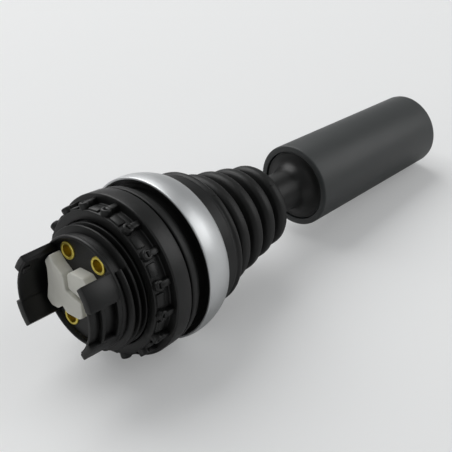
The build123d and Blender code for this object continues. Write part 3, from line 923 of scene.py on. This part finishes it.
    def draw_bezel(self, draft: Draft) -> None:
        """Turn the bezel's crowned band, its hollow rear edge and its front lip."""
        crown = [
            (self.bezel_back + along, self.bezel_r + out, size)
            for along, out, size in self.bezel_crown]
        draft.turn([
            (self.bezel_back, self.bezel_hollow_r, SOFT),
            *crown,
            (self.bezel_front, self.bezel_front_r, self.bezel_mouth_rounds[0]),
            (self.bezel_front, self.bezel_mouth_r, self.bezel_mouth_rounds[1]),
            (self.bezel_lip, self.bezel_mouth_r),
            (self.bezel_lip, self.bezel_bore_r),
            (self.bezel_hollow, self.bezel_bore_r),
            (self.bezel_hollow, self.bezel_hollow_r, self.bezel_hollow_round),
        ], steps=128)


@dataclass
class Bellows(SubAssembly):
    """The rubber bellows round the stick."""

    bead: float = 5.2
    skirt_r: float = 12.75
    skirt_end: Point = (12.75, 12.35, 0.15)
    groove: Point = (13.25, 12.08, 0.25)
    lip: tuple[Point, Point] = ((13.7, 12.32, 0.3), (14.6, 12.27, 0.5))
    spigot_r: float = 11.43
    spigot_end: Point = (13.3, 11.43, 0.4)
    wall: float = 1.1
    crests: int = 4
    crest_x: float = 17.8
    crest_r: float = 10.55
    crest_slope: float = 0.1
    pitch: float = 4.28
    fall: float = 0.9
    flat: float = 1.0
    depth: float = 3.3
    outer_rounds: Pair = (0.7, 0.25)
    inner_rounds: Pair = (0.4, 0.2)
    collar: tuple[Point, Point] = ((32.6, 4.5, 0.4), (33.95, 4.5, 0.12))
    stem_r: float = 3.83
    ticks: tuple[tuple[float, float, float, float], ...] = (
        (13.8, 14.4, 12.4, 120.0), (30.0, 31.2, 7.93, 128.0))
    tick_sink: float = 0.3
    tick_half_angle: float = 0.4
    tick_edge: float = 0.04
    still_end: Point = (0.0095, 0.0, 0.0)
    moving_end: Point = (0.0315, 0.0, 0.0)

    def build(self) -> None:
        """Build the bellows between the housing and the stick."""
        draft = Draft()
        draft.turn(self.outer_line() + self.inner_line(), steps=120)
        for back, front, top_r, angle in self.ticks:
            sides = (angle - self.tick_half_angle, angle + self.tick_half_angle)
            draft.sector((back, top_r - self.tick_sink), (front, top_r), *sides, self.tick_edge)
        self.make_soft(
            draft, "folded_bellows", self.finishes.rubber, Body.STICK, "bellows", self.still_end,
            self.moving_end)

    def folds(self, drop: float, crest: float, valley: float) -> Profile:
        """The folds' corners, lowered towards the axis.

        Args:
            drop: How far they are lowered.
            crest: The rounding of a crest's corners.
            valley: The rounding of a valley.

        Returns:
            The corners from the skirt to the last crest.
        """
        corners = []
        for number in range(self.crests):
            x = self.crest_x + number * self.pitch
            r = self.crest_r - number * self.fall - drop
            corners += [
                (x - self.pitch / 2, r - self.depth + self.fall / 2, valley),
                (x - self.flat, r, crest),
                (x + self.flat, r - self.crest_slope, crest),
            ]
        return corners

    def outer_line(self) -> Profile:
        """The outside from the bead to the collar."""
        skirt = ((self.bead, self.skirt_r), self.skirt_end, self.groove, *self.lip)
        return [*skirt, *self.folds(0.0, *self.outer_rounds), *self.collar]

    def inner_line(self) -> Profile:
        """The inside from the collar back to the bead."""
        collar_back, collar_front = (place[0] for place in self.collar)
        return [
            (collar_front, self.stem_r),
            (collar_back - self.wall, self.stem_r),
            *reversed(self.folds(self.wall, *self.inner_rounds)),
            self.spigot_end,
            (self.bead, self.spigot_r),
        ]


@dataclass
class Stick(SubAssembly):
    """The stem and the grip that the hand holds."""

    stem_back: float = 15.0
    stem_r: float = 3.8
    shaft_r: float = 2.53
    flare: float = 2.5
    flare_edge: float = 0.12
    flare_slope: Pair = (0.05, 0.1)
    mouth: float = 42.25
    floor: float = 42.55
    grip_end: float = 79.1
    mouth_r: float = 7.92
    mouth_round: float = 0.3
    end_r: float = 7.08
    end_round: float = 1.2
    rim_r: float = 6.75
    disc_r: float = 6.56
    disc_round: float = 0.06
    groove: float = 0.6
    insert_r: float = 5.23
    insert_gap: float = 0.03
    insert_start: float = 43.35
    insert_end: float = 61.35

    def build(self) -> None:
        """Build the stem and the grip."""
        self.make(self.draw_stem, "flared_stem", self.finishes.black, Body.STICK, "stem_sleeve")
        self.make(self.draw_grip, "tapered_grip", self.finishes.grip, Body.STICK, "handle_grip")

    def draw_stem(self, draft: Draft) -> None:
        """Turn the stem with the hollow flare at the grip."""
        flare_back = self.floor - self.flare_edge
        flare_r = self.stem_r + self.flare
        tail_r = self.insert_r - self.insert_gap
        draft.turn([
            (self.stem_back, self.shaft_r),
            (self.stem_back, self.stem_r, SOFT),
            (flare_back, self.stem_r, self.flare),
            (flare_back, flare_r + self.flare_slope[0], self.disc_round),
            (self.floor, flare_r + self.flare_slope[1]),
            (self.floor, tail_r),
            (self.insert_start, tail_r),
            (self.insert_start, self.shaft_r),
        ], steps=72)

    def draw_grip(self, draft: Draft) -> None:
        """Turn the tapered grip with its stepped mouth and the insert's bore."""
        groove_floor = self.floor + self.groove
        draft.turn([
            (self.mouth, self.rim_r, SOFT),
            (self.mouth, self.mouth_r, self.mouth_round),
            (self.grip_end, self.end_r, self.end_round),
            (self.grip_end, 0.0),
            (self.insert_end, 0.0),
            (self.insert_end, self.insert_r),
            (self.floor, self.insert_r),
            (self.floor, self.disc_r, self.disc_round),
            (groove_floor, self.disc_r),
            (groove_floor, self.rim_r),
        ], steps=96)


@dataclass
class Plungers(SubAssembly):
    """The two interlocking plungers that the rocker pushes, with their springs."""

    back: float = -12.85
    back_margin: float = 0.01
    back_edge: float = 0.28
    plate_front: float = -3.8
    plate_back: float = -4.8
    post_front: float = -2.5
    post_sink: float = 0.5
    post_half: Pair = (1.4, 2.0)
    post_edge: float = 0.15
    nose_y: float = 5.0
    pad_place: Pair = (2.5, -6.1)
    pad_r: float = 1.65
    pad_root: float = -3.6
    spring_floor: float = -7.7
    spring_gap: float = 0.02
    spring_r: float = 1.15
    wire_r: float = 0.2
    wire_round: float = 0.12
    turns: float = 2.5

    def build(self) -> None:
        """Build both plungers and their springs."""
        light = self.finishes.light
        for side, body in ((1, Body.LEFT), (-1, Body.RIGHT)):
            self.make(partial(self.draw, side), f"{body.value}_foot", light, body, body.value)
            self.wind_spring(side, body)

    def draw(self, side: int, draft: Draft) -> None:
        """Draw one plunger: its shaped foot, the spring's pad and the post under the rocker."""
        mark = draft.mark()
        draft.prism(plunger_outline(side), PLUNGER_CORNER, self.back, self.plate_front)
        limit = self.back + self.back_margin
        rear = [edge for edge in draft.since(mark)[1] if max(v.co.x for v in edge.verts) < limit]
        draft.soften(rear, self.back_edge, steps=3)
        y, z = (side * place for place in self.pad_place)
        draft.turn([
            (self.plate_back, 0.0),
            (self.plate_back, self.pad_r, SOFT),
            (self.plate_front, self.pad_r, SOFT),
            (self.plate_front, 0.0),
        ], steps=32, centre=(y, z))
        near, far = sorted((z, side * self.pad_root))
        draft.block(
            (self.plate_back, y - self.pad_r, near), (self.plate_front, y + self.pad_r, far), SOFT)
        half_y, half_z = self.post_half
        low_y, high_y = (side * self.nose_y + step * half_y for step in (-1, 1))
        draft.block(
            (self.plate_front - self.post_sink, low_y, -half_z), (self.post_front, high_y, half_z),
            self.post_edge)

    def wind_spring(self, side: int, body: Body) -> None:
        """Wind one return spring between the cavity's floor and its plunger's pad."""
        draft = Draft()
        y, z = (side * place for place in self.pad_place)
        back = self.spring_floor + self.wire_r
        front = self.plate_back - self.wire_r - self.spring_gap
        wire = [
            (back + along * self.wire_r, self.spring_r + out * self.wire_r, self.wire_round)
            for along, out in ((-1, -1), (-1, 1), (1, 1), (1, -1))]
        draft.turn(wire, FULL_TURN * self.turns, steps=80, rise=front - back, centre=(y, z))
        still, moving = ((x * MM, y * MM, z * MM) for x in (back, front))
        name = body.value
        self.make_soft(
            draft, f"{name}_coil", self.finishes.steel, body, f"{name}_spring", still, moving)


@dataclass
class Inside(SubAssembly):
    """The CAD nodes of the works that keep their own shape."""

    steel: tuple[str, ...] = (
        "bellows_band", "pivot_pin", "lever_shaft", "cross_pin", "rocker", "rocker_screw")
    plastic: tuple[str, ...] = ("pivot_carrier", "lever_hub", "grip_insert")
    brass: tuple[str, ...] = ("hub_bushes",)

    def build(self) -> None:
        """Give each carried-over node its finish."""
        groups = (
            (self.steel, self.finishes.steel),
            (self.plastic, self.finishes.black),
            (self.brass, self.finishes.brass))
        for names, finish in groups:
            for name in names:
                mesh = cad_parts[name].data
                mesh.materials.clear()
                mesh.materials.append(self.dresser.coat(finish))
                LOG.info("%s: carried over in %s", name, finish.name)


class Stage:
    """The floor that the joystick lies on, the studio light and the camera."""

    rest_x: float = 0.0035
    rest_z: float = -0.0149
    slope: float = 0.104
    reach: float = 3.0
    floor_colour: Colour = (0.66, 0.665, 0.665)
    floor_tones: Pair = (0.985, 1.015)
    floor_clouds: float = 0.004
    floor_rough: Pair = (0.75, 0.1)
    bounce_colour: Colour = (0.66, 0.66, 0.66)
    glow: Colour = (0.21, 0.212, 0.212)
    sky: Colour = (0.8, 0.81, 0.82)
    sky_strength: float = 0.33
    lamps: tuple[tuple[str, Point, float, float], ...] = (
        ("key_softbox", (-0.42, 0.86, 0.04), 0.9, 6.9),
        ("rear_softbox", (-0.54, -0.21, -0.71), 0.35, 0.6),
        ("side_softbox", (0.78, 0.44, -0.15), 0.6, 1.8))
    lens: float = 103.54
    sensor: float = 36.0
    near_clip: float = 0.01
    eye: Vector = Vector((-0.12851, -0.14119, 0.11080))
    right: Vector = Vector((0.6807, -0.7326, 0.0))
    up: Vector = Vector((0.3483, 0.3236, 0.8798))
    ahead: Vector = Vector((0.6445, 0.5989, -0.4754))
    target: Vector = Vector((0.025, 0.0, 0.0))

    def build(self) -> None:
        """Set up the floor, the sky, the lamps and the camera."""
        self.lay_floor()
        self.light_sky()
        for lamp in self.lamps:
            self.hang(*lamp)
        self.aim_camera()
        bpy.context.scene.view_settings.view_transform = "Standard"

    def floor_material(self) -> bpy.types.Material:
        """Build the floor's material, which is paler to the camera than to the joystick."""
        shader = Shader("pale_floor")
        cloud = shader.noise(shader.point(), self.floor_clouds, detail=2.0)
        tone = shader.mix(cloud, *(shade(self.floor_colour, share) for share in self.floor_tones))
        seen = shader.node("ShaderNodeLightPath", {}, {}, "Is Camera Ray")
        rough, swing = self.floor_rough
        shader.set(
            Base_Color=shader.mix(seen, shade(self.bounce_colour), tone),
            Roughness=rough + cloud * swing,
            Emission_Color=shader.mix(seen, shade(self.glow, 0.0), shade(self.glow)),
            Emission_Strength=1.0)
        return shader.material

    def lay_floor(self) -> None:
        """Lay the pale floor, tilted to touch the bezel and the grip's end."""
        mesh = bpy.data.meshes.new("studio_floor")
        bm = bmesh.new()
        tilt = Matrix((
            (1, 0, 0, self.rest_x), (0, 1, 0, 0), (self.slope, 0, 1, self.rest_z), (0, 0, 0, 1)))
        bmesh.ops.create_grid(bm, x_segments=8, y_segments=8, size=self.reach, matrix=tilt)
        bm.to_mesh(mesh)
        bm.free()
        mesh.materials.append(self.floor_material())
        floor = stand("studio_floor", mesh)

    def light_sky(self) -> None:
        """Light everything softly from a pale sky."""
        world = bpy.data.worlds.new("studio_sky")
        bpy.context.scene.world = world
        world.use_nodes = True
        sky = world.node_tree.nodes["Background"]
        sky.inputs["Color"].default_value = shade(self.sky)
        sky.inputs["Strength"].default_value = self.sky_strength

    def hang(self, name: str, place: Point, size: float, power: float) -> None:
        """Hang a soft lamp.

        Args:
            name: The lamp's name.
            place: Its place from the target, along the camera's right, up and view.
            size: Its side in metres.
            power: Its power in watts.
        """
        lamp = bpy.data.lights.new(name, "AREA")
        lamp.size = size
        lamp.energy = power
        spot = self.right * place[0] + self.up * place[1] + self.ahead * place[2]
        aim = spot.to_track_quat("Z", "Y").to_matrix().to_4x4()
        stand(name, lamp).matrix_world = Matrix.Translation(self.target + spot) @ aim

    def aim_camera(self) -> None:
        """Put the camera where the photograph was taken from."""
        camera = bpy.data.cameras.new("photo_camera")
        camera.lens = self.lens
        camera.sensor_width = self.sensor
        camera.clip_start = self.near_clip
        holder = stand("photo_camera", camera)
        axes = Matrix((self.right, self.up, -self.ahead)).transposed().to_4x4()
        holder.matrix_world = Matrix.Translation(self.eye) @ axes
        bpy.context.scene.camera = holder


def main() -> None:
    """Build the joystick's looks and its stage."""
    logging.basicConfig(level=logging.INFO, format="%(name)s: %(message)s")
    dresser = Dresser()
    for group in (Housing, Clamp, Bellows, Stick, Plungers, Inside):
        group(dresser).build()
    Stage().build()


if __name__ == "__main__":
    main()
